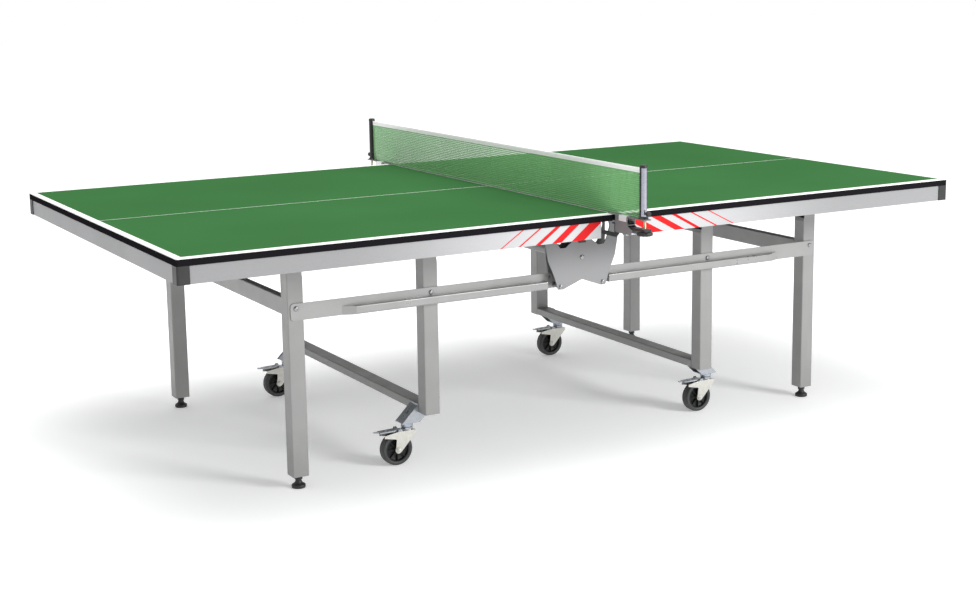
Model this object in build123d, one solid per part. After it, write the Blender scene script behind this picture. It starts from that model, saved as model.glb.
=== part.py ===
"""Folding table tennis table: two board halves on a parallel-link undercarriage, with a clamp-on net set.

Millimetres. The origin is on the floor under the middle of the net, +X runs along the table's length,
+Y across it and +Z is up. "near" is the -Y side, "left" is the -X end.
"""

from build123d import *
from math import cos, hypot, radians, sin
import os

# Playing surface
TABLE_LENGTH = 2740
TABLE_WIDTH = 1525
TABLE_HEIGHT = 760
BOARD_THICKNESS = 22
CENTRE_GAP = 10

# Apron under the board's edge
APRON_HEIGHT = 50
APRON_SHEET = 2
APRON_FLANGE = 18
APRON_SETBACK = 3
APRON_INNER_X = 45
CORNER_CAP_LENGTH = 36
CORNER_CAP_RADIUS = 6

# Folding geometry: every top pivot is on one level, every bar pivot on another. A drop is measured down
# from the boards' underside, and a reach outwards from their long edge.
FOLD_ANGLE = 80
TOP_PIVOT_DROP = 7
CENTRE_PIVOT_X = 100
INNER_LEG_X = 515
OUTER_LEG_X = 951
BAR_PIVOT_DROP = 198
PIN_RADIUS = 4
PIN_CLEARANCE = 0.05
PIN_HEAD_RADIUS = 6
PIN_HEAD_HEIGHT = 3
MOVING_GAP = 0.5
SWING_CLEARANCE = 2

# Legs
LEG_Y = 521
LEG_SECTION = 50
LEG_WALL = 2
LEG_TOP_RADIUS = 6
LEG_CORNER_RADIUS = 4
INNER_LEG_BOTTOM = 160
OUTER_LEG_BOTTOM = 38
OUTER_CROSSBAR_DEPTH = 25
OUTER_CROSSBAR_HEIGHT = 54
OUTER_CROSSBAR_DROP = 208
CASTER_CROSSBAR_HEIGHT = 26

# Carrier rails under the boards
RAIL_WIDTH = 26
RAIL_HEIGHT = 22
RAIL_WALL = 2
RAIL_GAP = 4
RAIL_END_GAP = 170

# Link bars
BAR_HEIGHT = 50
BAR_BELOW_PIVOT = 35
BAR_SHEET = 2.5
BAR_RIB_HEIGHT = 26
BAR_RIB_DEPTH = 17
BAR_RIB_WALL = 2
BAR_RIB_START = 14
BAR_RIB_STOP = 143
BAR_RIB_TAPER = 40
BAR_RIB_RADIUS = 5
BAR_END_OVERHANG = 17
BAR_INNER_OVERHANG = 12
BAR_CORNER_RADIUS = 10

# Centre frame
CHEEK_SHEET = 4
CHEEK_OVERHANG = 34
INNER_CHEEK_OVERHANG = 12
CHEEK_SIDE_FULLNESS = 0.7
CHEEK_SHOULDER_DROP = 83
CHEEK_HORN_DROP = 34
CHEEK_BOTTOM_DROP = 234
CHEEK_BOTTOM_X = 88
CHEEK_NOTCH_DROP = 208
CHEEK_BOLT_X = 78
CHEEK_BOLT_DROP = 223
CENTRE_TUBE_DROP = 138
CENTRE_TUBE_RADIUS = 20
CENTRE_TUBE_WALL = 3
SPACER_RADIUS = 8
BAR_LUG_RADIUS = 12

# Casters and levelling feet
STEM_REACH = 29
STEM_INSET = 22
WHEEL_RADIUS = 50
WHEEL_WIDTH = 32
HUB_RADIUS = 37
WHEEL_TRAIL = 39
AXLE_RADIUS = 6
BRACKET_SHEET = 2.5
BRACKET_WIDTH = 48
BRACKET_REACH = 56
BRACKET_RISE = 25
BRACKET_LIP = 3
FORK_SHEET = 2.5
FORK_INNER_GAP = 2.5
FORK_TOP_GAP = 0.3
FORK_CROWN_GAP = 3
FORK_CHEEK_RISE = 3.5
FORK_WING = 46
BEARING_RADIUS = 19
BEARING_NECK_RADIUS = 13
STUD_RADIUS = 5
PEDAL_WIDTH = 26
PEDAL_LENGTH = 80
PEDAL_TIP_LENGTH = 16
PEDAL_TIP_WIDTH = 9
PEDAL_SLOT_WIDTH = 10
PEDAL_PIVOT_X = -32
PEDAL_PIVOT_RISE = 6
PEDAL_PIN_RADIUS = 3
FOOT_RADIUS = 21
FOOT_DISC_HEIGHT = 12
FOOT_NECK_RADIUS = 9
FOOT_STUD_RADIUS = 6
FOOT_STUD_LENGTH = 40
PLUG_HEIGHT = 30
PLUG_LIP = 3

# Net set
NET_HEIGHT = 152.5
NET_OVERHANG = 152.5
TAPE_HEIGHT = 15
TAPE_THICKNESS = 4
NET_THICKNESS = 1.6
POST_RADIUS = 11
POST_RISE = 162
SOFT_GAP = 0.4
TOP_PLATE_WIDTH = 28
TOP_PLATE_SHEET = 3
TOP_PLATE_LAP = 17.5
TOP_PLATE_REACH = 177.5
CLAMP_WIDTH = 30
CLAMP_SHEET = 2
CLAMP_EDGE_GAP = 4
CLAMP_INNER_REACH = 27.5
CLAMP_OUTER_REACH = 89.5
CLAMP_ARM_REACH = 111.5
CLAMP_BOTTOM_DROP = 29
CLAMP_RADIUS = 6
FIN_SHEET = 4
FIN_TOP_DROP = 36
FIN_ROOT_BOTTOM_DROP = 90
FIN_ROOT_TOP_DROP = 64
FIN_DEPTH = 12
FIN_RISER = 22
TONGUE_DROP = 3
TONGUE_SHEET = 4
TONGUE_LENGTH = 50
TONGUE_WIDTH = 20
JAW_INNER_GAP = 1
JAW_PIVOT_REACH = 75.5
JAW_PIVOT_DROP = 16
JAW_THICKNESS = 9
JAW_WIDTH = 22
SCREW_REACH = 160.5
SCREW_RADIUS = 4
KNOB_RADIUS = 24
KNOB_HEIGHT = 12
TENSION_RISE = 20
TENSION_KNOB_RADIUS = 8

# Derived levels
half_length = TABLE_LENGTH / 2
half_width = TABLE_WIDTH / 2
board_bottom = TABLE_HEIGHT - BOARD_THICKNESS
board_inner_x = CENTRE_GAP / 2
top_pivot_z = board_bottom - TOP_PIVOT_DROP
bar_pivot_z = board_bottom - BAR_PIVOT_DROP
cheek_shoulder_z = board_bottom - CHEEK_SHOULDER_DROP
cheek_horn_z = board_bottom - CHEEK_HORN_DROP
cheek_bottom_z = board_bottom - CHEEK_BOTTOM_DROP
cheek_notch_z = board_bottom - CHEEK_NOTCH_DROP
cheek_bolt_z = board_bottom - CHEEK_BOLT_DROP
centre_tube_z = board_bottom - CENTRE_TUBE_DROP
fin_top_z = board_bottom - FIN_TOP_DROP
fin_root_bottom_z = board_bottom - FIN_ROOT_BOTTOM_DROP
fin_root_top_z = board_bottom - FIN_ROOT_TOP_DROP
tongue_z = board_bottom - TONGUE_DROP
jaw_pivot_z = board_bottom - JAW_PIVOT_DROP
clamp_bottom_z = board_bottom - CLAMP_BOTTOM_DROP
outer_crossbar_z = board_bottom - OUTER_CROSSBAR_DROP
post_top_z = TABLE_HEIGHT + POST_RISE
tension_z = TABLE_HEIGHT + TENSION_RISE
top_plate_inner_y = half_width - TOP_PLATE_LAP
top_plate_outer_y = half_width + TOP_PLATE_REACH
clamp_inner_y = half_width + CLAMP_INNER_REACH
clamp_outer_y = half_width + CLAMP_OUTER_REACH
clamp_arm_y = half_width + CLAMP_ARM_REACH
jaw_pivot_y = half_width + JAW_PIVOT_REACH
screw_y = half_width + SCREW_REACH
jaw_inner_y = clamp_inner_y + JAW_INNER_GAP
leg_outer_y = LEG_Y + LEG_SECTION / 2
leg_inner_y = LEG_Y - LEG_SECTION / 2
half_leg = LEG_SECTION / 2
rail_end_x = half_length - RAIL_END_GAP
bar_rib_inner_x = CENTRE_PIVOT_X + BAR_RIB_START
bar_rib_outer_x = OUTER_LEG_X - BAR_RIB_STOP
stem_x = INNER_LEG_X + half_leg + STEM_REACH
stem_y = LEG_Y - half_leg - STEM_INSET
fork_crown_z = 2 * WHEEL_RADIUS + FORK_CROWN_GAP
fork_cheek_top = fork_crown_z + FORK_CHEEK_RISE
pedal_pivot_z = fork_crown_z + PEDAL_PIVOT_RISE
bracket_base_z = fork_crown_z + BRACKET_RISE
rail_inner_y = leg_outer_y + RAIL_GAP
rail_outer_y = rail_inner_y + RAIL_WIDTH
cheek_inner_y = leg_outer_y - MOVING_GAP - CHEEK_SHEET - MOVING_GAP
cheek_outer_y = rail_outer_y + RAIL_GAP
bar_inner_y = leg_outer_y + MOVING_GAP
bar_outer_y = bar_inner_y + BAR_SHEET
bar_bottom = bar_pivot_z - BAR_BELOW_PIVOT
bar_top = bar_bottom + BAR_HEIGHT
hole_radius = PIN_RADIUS + PIN_CLEARANCE
swing_radius = hypot(CENTRE_PIVOT_X - board_inner_x, BOARD_THICKNESS + TOP_PIVOT_DROP) + SWING_CLEARANCE
swing_bottom_z = top_pivot_z - swing_radius + 5
plate_bottom = TABLE_HEIGHT + PIN_CLEARANCE * 4
clamp_edge_y = half_width + CLAMP_EDGE_GAP
post_y = half_width + NET_OVERHANG


def block(x0, x1, y0, y1, z0, z1):
    """A box between two corners."""
    centre = Pos((x0 + x1) / 2, (y0 + y1) / 2, (z0 + z1) / 2)
    return centre * Box(abs(x1 - x0), abs(y1 - y0), abs(z1 - z0))


def rod_x(y, z, x0, x1, radius):
    """A round bar along X."""
    return Pos((x0 + x1) / 2, y, z) * Rot(0, 90, 0) * Cylinder(radius, abs(x1 - x0))


def rod_y(x, z, y0, y1, radius):
    """A round bar along Y."""
    return Pos(x, (y0 + y1) / 2, z) * Rot(90, 0, 0) * Cylinder(radius, abs(y1 - y0))


def rod_z(x, y, z0, z1, radius):
    """A round bar along Z."""
    return Pos(x, y, (z0 + z1) / 2) * Cylinder(radius, abs(z1 - z0))


def slab_xz(points, y0, y1):
    """A flat plate with an outline in X and Z, between two Y planes."""
    face = make_face(Polyline(*[(x, 0, z) for x, z in points], close=True))
    return Pos(0, min(y0, y1), 0) * extrude(face, amount=abs(y1 - y0), dir=(0, 1, 0))


def slab_yz(points, x0, x1):
    """A flat plate with an outline in Y and Z, between two X planes."""
    face = make_face(Polyline(*[(0, y, z) for y, z in points], close=True))
    return Pos(min(x0, x1), 0, 0) * extrude(face, amount=abs(x1 - x0), dir=(1, 0, 0))


def rounded(solid, axis, radius):
    """The solid with all its edges along one axis rounded."""
    return fillet(solid.edges().filter_by(axis), radius)


def swap_x(shape):
    return mirror(shape, about=Plane.YZ)


def swap_y(shape):
    return mirror(shape, about=Plane.XZ)


def near_and_far(near):
    return [near, swap_y(near)]


nodes = {}


def keep(name, *solids):
    """Holds a node's solids under its name until they are written."""
    nodes[name] = list(solids)


def keep_both_ends(name, right):
    """The right end's solids and their mirror image at the left end."""
    keep(name + "_right", *right)
    keep(name + "_left", *[swap_x(solid) for solid in right])


# Board halves
def board():
    slab = block(board_inner_x, half_length, -half_width, half_width, board_bottom, TABLE_HEIGHT)
    outer_corners = slab.edges().filter_by(Axis.Z).group_by(Axis.X)[-1]
    return fillet(outer_corners, CORNER_CAP_RADIUS)


# Aprons: a C section along each side and across the end, and a cap on each outer corner
def apron_section(length):
    """A C section that opens to +Y, along X from 0 to length, its top at Z 0."""
    outline = block(0, length, 0, APRON_FLANGE, -APRON_HEIGHT, 0)
    inside = block(-1, length + 1, APRON_SHEET, APRON_FLANGE + 1, APRON_SHEET - APRON_HEIGHT, -APRON_SHEET)
    return outline - inside


def side_apron():
    length = half_length - APRON_SETBACK - APRON_INNER_X
    end_flange = block(0, APRON_SHEET, 0, APRON_FLANGE, -APRON_HEIGHT, 0)
    apron = apron_section(length) + end_flange
    return Pos(APRON_INNER_X, -half_width + APRON_SETBACK, board_bottom) * apron


def end_apron():
    length = 2 * (half_width - APRON_SETBACK - APRON_FLANGE)
    section = Rot(0, 0, 90) * apron_section(length)
    return Pos(half_length - APRON_SETBACK, -length / 2, board_bottom) * section


def corner_cap():
    outer = block(
        half_length - CORNER_CAP_LENGTH, half_length, -half_width, -half_width + CORNER_CAP_LENGTH,
        board_bottom - APRON_HEIGHT, board_bottom,
    )
    corner = outer.edges().filter_by(Axis.Z).sort_by(Axis.X)[-2:].sort_by(Axis.Y)[0]
    outer = fillet(corner, CORNER_CAP_RADIUS)
    inside = block(
        0, half_length - APRON_SETBACK, -half_width + APRON_SETBACK, 0,
        board_bottom - APRON_HEIGHT - 1, board_bottom + 1,
    )
    return outer - inside


# Carrier rails: one square tube under each side of a board, with its three pivot holes
def carrier_rail():
    inner_x = CENTRE_PIVOT_X - BAR_INNER_OVERHANG
    bottom = board_bottom - RAIL_HEIGHT
    tube = block(inner_x, rail_end_x, -rail_outer_y, -rail_inner_y, bottom, board_bottom)
    tube -= block(
        inner_x - 1, rail_end_x + 1, -rail_outer_y + RAIL_WALL, -rail_inner_y - RAIL_WALL,
        bottom + RAIL_WALL, board_bottom - RAIL_WALL,
    )
    for pivot_x in (CENTRE_PIVOT_X, INNER_LEG_X, OUTER_LEG_X):
        tube -= rod_y(pivot_x, top_pivot_z, -rail_outer_y - 1, -rail_inner_y + 1, hole_radius)
    return tube


def leg_pivot_pin(pivot_x):
    """A headed pin through a carrier rail and the leg inside it."""
    head_y = -rail_outer_y - PIN_HEAD_HEIGHT
    pin = rod_y(pivot_x, top_pivot_z, -rail_outer_y, -leg_inner_y + PIN_HEAD_HEIGHT, PIN_RADIUS)
    return pin + rod_y(pivot_x, top_pivot_z, head_y, -rail_outer_y, PIN_HEAD_RADIUS)


# Legs: the top is cut back on its inner side so that the board clears it all through the fold
def leg_relief():
    """The space swept by a board's underside, measured from the pivot."""
    tilt = radians(FOLD_ANGLE)
    touch = (-LEG_TOP_RADIUS * sin(tilt), LEG_TOP_RADIUS * cos(tilt))
    reach = LEG_SECTION / cos(tilt)
    low = (touch[0] - reach * cos(tilt), touch[1] - reach * sin(tilt))
    outline = [(0, LEG_SECTION), (0, 0), touch, low, (low[0], LEG_SECTION)]
    wedge = slab_xz(outline, -leg_outer_y - 1, -leg_inner_y + 1)
    return wedge - rod_y(0, 0, -leg_outer_y - 2, -leg_inner_y + 2, LEG_TOP_RADIUS)


def leg_tube(leg_x, bottom):
    top = top_pivot_z + LEG_TOP_RADIUS
    tube = block(leg_x - half_leg, leg_x + half_leg, -leg_outer_y, -leg_inner_y, bottom, top)
    bore = block(
        leg_x - half_leg + LEG_WALL, leg_x + half_leg - LEG_WALL,
        -leg_outer_y + LEG_WALL, -leg_inner_y - LEG_WALL, bottom + LEG_WALL, top + 1,
    )
    tube = rounded(tube, Axis.Z, LEG_CORNER_RADIUS) - rounded(bore, Axis.Z, LEG_CORNER_RADIUS - LEG_WALL)
    tube -= Pos(leg_x, 0, top_pivot_z) * leg_relief()
    for height in (top_pivot_z, bar_pivot_z):
        tube -= rod_y(leg_x, height, -leg_outer_y - 1, -leg_inner_y + 1, hole_radius)
    return tube


def inner_leg():
    return leg_tube(INNER_LEG_X, INNER_LEG_BOTTOM)


def outer_leg():
    """The leg and the black plug in its foot, which holds the levelling foot's stud."""
    leg = leg_tube(OUTER_LEG_X, OUTER_LEG_BOTTOM + PLUG_LIP)
    half_bore = half_leg - LEG_WALL - PIN_CLEARANCE
    low = OUTER_LEG_BOTTOM + PLUG_LIP
    mouth = block(
        OUTER_LEG_X - half_leg + LEG_WALL, OUTER_LEG_X + half_leg - LEG_WALL,
        -leg_outer_y + LEG_WALL, -leg_inner_y - LEG_WALL, low - 1, low + LEG_WALL + 1,
    )
    leg -= rounded(mouth, Axis.Z, LEG_CORNER_RADIUS - LEG_WALL)
    lip = block(
        OUTER_LEG_X - half_leg, OUTER_LEG_X + half_leg, -leg_outer_y, -leg_inner_y, OUTER_LEG_BOTTOM, low
    )
    stem = block(
        OUTER_LEG_X - half_bore, OUTER_LEG_X + half_bore, -LEG_Y - half_bore, -LEG_Y + half_bore,
        low, OUTER_LEG_BOTTOM + PLUG_HEIGHT,
    )
    plug = rounded(lip, Axis.Z, LEG_CORNER_RADIUS) + rounded(stem, Axis.Z, LEG_CORNER_RADIUS - LEG_WALL)
    plug -= rod_z(
        OUTER_LEG_X, -LEG_Y, OUTER_LEG_BOTTOM - 1, OUTER_LEG_BOTTOM + PLUG_HEIGHT + 1,
        FOOT_STUD_RADIUS + PIN_CLEARANCE,
    )
    return [leg, plug]


def rail_tube(x0, x1, z0, z1, half_span):
    """A closed rectangular tube across the frame, along Y."""
    tube = block(x0, x1, -half_span, half_span, z0, z1)
    bore = block(
        x0 + LEG_WALL, x1 - LEG_WALL,
        -half_span + LEG_WALL, half_span - LEG_WALL,
        z0 + LEG_WALL, z1 - LEG_WALL,
    )
    return rounded(tube, Axis.Y, LEG_CORNER_RADIUS) - rounded(bore, Axis.Y, LEG_CORNER_RADIUS - LEG_WALL)


def outer_crossbar():
    inner_x = OUTER_LEG_X - half_leg
    half_height = OUTER_CROSSBAR_HEIGHT / 2
    return rail_tube(
        inner_x, inner_x + OUTER_CROSSBAR_DEPTH,
        outer_crossbar_z - half_height, outer_crossbar_z + half_height, leg_inner_y,
    )


def caster_crossbar():
    top = INNER_LEG_BOTTOM + CASTER_CROSSBAR_HEIGHT
    return rail_tube(INNER_LEG_X - half_leg, INNER_LEG_X + half_leg, INNER_LEG_BOTTOM, top, leg_inner_y)


def caster_bracket():
    """A folded sheet channel on the crossbar's outer face, with a base plate for the caster's stem."""
    back_x = INNER_LEG_X + half_leg
    front_x = back_x + BRACKET_REACH
    top = INNER_LEG_BOTTOM + CASTER_CROSSBAR_HEIGHT
    base_top = bracket_base_z + BRACKET_SHEET
    side = [
        (back_x, top), (front_x, base_top), (front_x, bracket_base_z), (back_x - 4, bracket_base_z),
        (back_x - 38, INNER_LEG_BOTTOM), (back_x, INNER_LEG_BOTTOM),
    ]
    near_y = -stem_y - BRACKET_WIDTH / 2
    far_y = -stem_y + BRACKET_WIDTH / 2
    bracket = slab_xz(side, near_y, near_y + BRACKET_SHEET) + slab_xz(side, far_y - BRACKET_SHEET, far_y)
    web = [
        (back_x, top - BRACKET_LIP), (front_x - BRACKET_LIP, base_top),
        (front_x - BRACKET_LIP, bracket_base_z), (front_x - BRACKET_LIP - 8, bracket_base_z),
        (back_x, top - BRACKET_LIP - 10),
    ]
    bracket += slab_xz(web, near_y, far_y)
    bracket += block(back_x - 4, front_x - BRACKET_LIP, near_y, far_y, bracket_base_z, base_top)
    bracket += block(back_x, back_x + BRACKET_SHEET, near_y, far_y, INNER_LEG_BOTTOM, top)
    slot = rod_x(-stem_y, INNER_LEG_BOTTOM - 2, back_x + 4, front_x, 4)
    hole = rod_z(stem_x, -stem_y, bracket_base_z - 1, base_top + 1, STUD_RADIUS + PIN_CLEARANCE)
    return bracket - slot - hole


# Link bars: a flat web with a pressed rib along its lower half
def link_bar():
    inner_x = CENTRE_PIVOT_X - BAR_INNER_OVERHANG
    outer_x = OUTER_LEG_X + BAR_END_OVERHANG
    web = block(inner_x, outer_x, -bar_outer_y, -bar_inner_y, bar_bottom, bar_top)
    web = fillet(web.edges().filter_by(Axis.Y), BAR_CORNER_RADIUS)
    for pivot_x in (CENTRE_PIVOT_X, INNER_LEG_X, OUTER_LEG_X):
        web -= rod_y(pivot_x, bar_pivot_z, -bar_outer_y - 1, -bar_inner_y + 1, hole_radius)
    return web + bar_rib()


def rib_outline(inset):
    """The rib seen from above: it tapers back to the web at its outer end."""
    back = -bar_outer_y
    front = back - BAR_RIB_DEPTH + inset
    return [
        (bar_rib_inner_x + inset, back), (bar_rib_outer_x - inset, back),
        (bar_rib_outer_x - BAR_RIB_TAPER - inset, front), (bar_rib_inner_x + inset, front),
    ]


def bar_rib():
    """A hollow box along the web's lower half."""
    def prism(inset):
        face = make_face(Polyline(*[(x, y, bar_bottom + inset) for x, y in rib_outline(inset)], close=True))
        box = extrude(face, amount=BAR_RIB_HEIGHT - 2 * inset, dir=(0, 0, 1))
        front_edges = box.edges().filter_by(Axis.X).group_by(Axis.Y)[0]
        return fillet(front_edges, BAR_RIB_RADIUS - inset)
    return prism(0) - prism(BAR_RIB_WALL)


def bar_bolt(pivot_x):
    """A headed bolt through a link bar into the leg inside it."""
    head_y = -bar_outer_y - PIN_CLEARANCE * 2
    bolt = rod_y(pivot_x, bar_pivot_z, head_y, -leg_inner_y, PIN_RADIUS)
    return bolt + rod_y(pivot_x, bar_pivot_z, head_y - PIN_HEAD_HEIGHT, head_y, PIN_HEAD_RADIUS)


# Centre frame: an outer and an inner cheek on each side, tied by spacers and a cross tube
def cheek(inner_y, outer_y, overhang, lugs):
    top_x = CENTRE_PIVOT_X + overhang
    waist_x = CHEEK_BOTTOM_X + 11
    side_x = waist_x + CHEEK_SIDE_FULLNESS * (top_x - waist_x)
    side_z = (bar_pivot_z + cheek_shoulder_z) / 2
    right = [
        (0, cheek_notch_z), (CHEEK_BOTTOM_X - 18, cheek_bottom_z), (CHEEK_BOTTOM_X, cheek_bottom_z + 1),
        (waist_x, bar_pivot_z), (side_x, side_z), (top_x, cheek_shoulder_z), (top_x, cheek_horn_z),
        (CENTRE_PIVOT_X + LEG_TOP_RADIUS, top_pivot_z), (CENTRE_PIVOT_X - LEG_TOP_RADIUS, top_pivot_z),
        (CENTRE_PIVOT_X + 4, cheek_horn_z - 15), (CENTRE_PIVOT_X - 8, cheek_shoulder_z - 3),
        (CHEEK_BOLT_X + 2, swing_bottom_z), (0, swing_bottom_z),
    ]
    half = slab_xz(right, -inner_y, -outer_y)
    half += rod_y(CENTRE_PIVOT_X, top_pivot_z, -inner_y, -outer_y, LEG_TOP_RADIUS)
    if lugs:
        half += rod_y(CENTRE_PIVOT_X, bar_pivot_z, -inner_y, -outer_y, BAR_LUG_RADIUS)
    spike = [
        (0, swing_bottom_z - 1), (60, swing_bottom_z - 1), (14, fin_root_top_z + 3), (0, fin_root_top_z + 3),
    ]
    spike_solid = slab_xz(spike, -inner_y, -outer_y)
    spike_solid -= rod_y(CENTRE_PIVOT_X, top_pivot_z, -inner_y + 1, -outer_y - 1, swing_radius)
    plate = half + spike_solid
    plate += swap_x(plate)
    for side in (-1, 1):
        plate -= rod_y(side * CENTRE_PIVOT_X, top_pivot_z, -inner_y + 1, -outer_y - 1, hole_radius)
        plate -= rod_y(side * CHEEK_BOLT_X, cheek_bolt_z, -inner_y + 1, -outer_y - 1, hole_radius)
        if lugs:
            plate -= rod_y(side * CENTRE_PIVOT_X, bar_pivot_z, -inner_y + 1, -outer_y - 1, hole_radius)
    return plate - rod_y(0, centre_tube_z, -inner_y + 1, -outer_y - 1, hole_radius)


def through_bolt(x, z, head_radius):
    """A headed bolt through both cheeks."""
    head_y = -cheek_outer_y - CHEEK_SHEET
    shank = rod_y(x, z, head_y, -cheek_inner_y + PIN_HEAD_HEIGHT, PIN_RADIUS)
    return shank + rod_y(x, z, head_y - PIN_HEAD_HEIGHT, head_y, head_radius)


def bar_stud(x):
    """The pin of a link bar, riveted in the inner cheek."""
    return rod_y(x, bar_pivot_z, -bar_outer_y - PIN_HEAD_HEIGHT, -cheek_inner_y + PIN_HEAD_HEIGHT, PIN_RADIUS)


def spacer(x, z):
    inner = -cheek_inner_y - CHEEK_SHEET
    sleeve = rod_y(x, z, inner, -cheek_outer_y, SPACER_RADIUS)
    return sleeve - rod_y(x, z, inner + 1, -cheek_outer_y - 1, hole_radius)


def centre_bolts():
    near = [through_bolt(0, centre_tube_z, PIN_HEAD_RADIUS), spacer(0, centre_tube_z)]
    for side in (-1, 1):
        near.append(through_bolt(side * CENTRE_PIVOT_X, top_pivot_z, LEG_TOP_RADIUS))
        near.append(through_bolt(side * CHEEK_BOLT_X, cheek_bolt_z, PIN_HEAD_RADIUS))
        near.append(spacer(side * CHEEK_BOLT_X, cheek_bolt_z))
        near.append(bar_stud(side * CENTRE_PIVOT_X))
    return near + [swap_y(solid) for solid in near]


def centre_tube():
    tube = rod_y(0, centre_tube_z, -cheek_inner_y, cheek_inner_y, CENTRE_TUBE_RADIUS)
    bore = rod_y(
        0, centre_tube_z, -cheek_inner_y + CENTRE_TUBE_WALL, cheek_inner_y - CENTRE_TUBE_WALL,
        CENTRE_TUBE_RADIUS - CENTRE_TUBE_WALL,
    )
    drill = rod_y(0, centre_tube_z, -cheek_inner_y - 1, cheek_inner_y + 1, hole_radius)
    return tube - bore - drill


# Net set
def net_bracket():
    """A flat fin on the outer cheek, low enough to pass under the boards, with a tongue for the net clamp."""
    root_y = -cheek_outer_y - CHEEK_SHEET
    edge_y = -clamp_edge_y
    riser_y = edge_y - FIN_RISER
    tongue_y = edge_y - TONGUE_LENGTH
    fin_bottom = fin_top_z - FIN_DEPTH
    outline = [
        (root_y, fin_root_bottom_z), (root_y, fin_root_top_z), (root_y - 50, fin_top_z), (edge_y, fin_top_z),
        (edge_y, tongue_z), (riser_y, tongue_z), (riser_y, fin_top_z), (edge_y - 8, fin_bottom),
        (root_y - 60, fin_bottom),
    ]
    fin = slab_yz(outline, -FIN_SHEET / 2, FIN_SHEET / 2)
    fin += block(-TONGUE_WIDTH / 2, TONGUE_WIDTH / 2, tongue_y, edge_y, tongue_z - TONGUE_SHEET, tongue_z)
    foot_plate = block(-12, 12, root_y - CHEEK_SHEET, root_y, fin_root_bottom_z - 2, fin_root_top_z)
    return fin + foot_plate


def net_clamp():
    """The top plate over the boards' edge and the folded body under it, round the bracket's tongue."""
    half = CLAMP_WIDTH / 2
    plate_top = plate_bottom + TOP_PLATE_SHEET
    half_plate = TOP_PLATE_WIDTH / 2
    plate = block(-half_plate, half_plate, -top_plate_outer_y, -top_plate_inner_y, plate_bottom, plate_top)
    plate = rounded(plate, Axis.Z, 8)
    plate -= rod_z(0, -screw_y, plate_bottom - 1, plate_bottom + 1, SCREW_RADIUS + 1)
    side = [
        (-clamp_inner_y, plate_bottom), (-clamp_inner_y, clamp_bottom_z), (-clamp_arm_y, clamp_bottom_z),
        (-clamp_arm_y, tongue_z - 10), (-clamp_outer_y, tongue_z), (-clamp_outer_y, plate_bottom),
    ]

    def side_plate(x0, x1):
        wall = slab_yz(side, x0, x1)
        lower_corners = wall.edges().filter_by(Axis.X).group_by(Axis.Z)[0]
        return fillet(lower_corners, CLAMP_RADIUS)

    body = side_plate(-half, -half + CLAMP_SHEET) + side_plate(half - CLAMP_SHEET, half)
    web_z = tongue_z + MOVING_GAP / 2
    body += block(-half, half, -clamp_outer_y, -clamp_inner_y, web_z, web_z + CLAMP_SHEET)
    body += rod_x(-jaw_pivot_y, jaw_pivot_z, -half, half, PIN_RADIUS)
    return plate + body


def clamp_jaw():
    """The lever whose pad grips the tongue from below when its outer end is pushed down."""
    pad_top = tongue_z - TONGUE_SHEET - MOVING_GAP
    arm_bottom = jaw_pivot_z + 4
    half = JAW_WIDTH / 2
    outline = [
        (-jaw_inner_y, pad_top), (-jaw_inner_y, pad_top - 6), (-jaw_pivot_y + 12, jaw_pivot_z - 9),
        (-jaw_pivot_y - 12, jaw_pivot_z - 7), (-jaw_pivot_y - 30, arm_bottom),
        (-top_plate_outer_y, arm_bottom), (-top_plate_outer_y, arm_bottom + JAW_THICKNESS),
        (-jaw_pivot_y - 12, jaw_pivot_z + 9),
        (-jaw_pivot_y + 4, jaw_pivot_z + 9), (-jaw_inner_y - 20, pad_top - 4), (-jaw_inner_y - 16, pad_top),
    ]
    jaw = slab_yz(outline, -half, half)
    jaw -= rod_x(-jaw_pivot_y, jaw_pivot_z, -half - 1, half + 1, hole_radius)
    return jaw - rod_z(0, -screw_y, jaw_pivot_z, TABLE_HEIGHT, SCREW_RADIUS + PIN_CLEARANCE)


def clamp_screw():
    """The screw through the lever's outer end, with its hand knob underneath."""
    knob_top = jaw_pivot_z + 3
    knob = rod_z(0, -screw_y, knob_top - KNOB_HEIGHT, knob_top, KNOB_RADIUS)
    knob = fillet(knob.edges().filter_by(GeomType.CIRCLE), 3)
    return knob + rod_z(0, -screw_y, knob_top - 1, TABLE_HEIGHT, SCREW_RADIUS)


def net_post():
    base_z = plate_bottom + TOP_PLATE_SHEET
    post = rod_z(0, -post_y, base_z, post_top_z, POST_RADIUS)
    post = fillet(post.edges().filter_by(GeomType.CIRCLE).sort_by(Axis.Z)[-1], 3)
    return post - rod_y(0, tension_z, -post_y - POST_RADIUS - 1, -post_y, SCREW_RADIUS + PIN_CLEARANCE)


def tension_screw():
    knob_y = -post_y - POST_RADIUS - 8
    shank = rod_y(0, tension_z, knob_y, -post_y - 2, SCREW_RADIUS)
    return shank + rod_y(0, tension_z, knob_y - 12, knob_y, TENSION_KNOB_RADIUS)


def net_cloth():
    half_span = post_y - POST_RADIUS - SOFT_GAP
    bottom = TABLE_HEIGHT + TOP_PLATE_SHEET + 2 * SOFT_GAP
    top = TABLE_HEIGHT + NET_HEIGHT - TAPE_HEIGHT - SOFT_GAP
    return block(-NET_THICKNESS / 2, NET_THICKNESS / 2, -half_span, half_span, bottom, top)


def net_tape():
    half_span = post_y - POST_RADIUS - SOFT_GAP
    top = TABLE_HEIGHT + NET_HEIGHT
    return block(-TAPE_THICKNESS / 2, TAPE_THICKNESS / 2, -half_span, half_span, top - TAPE_HEIGHT, top)


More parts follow.
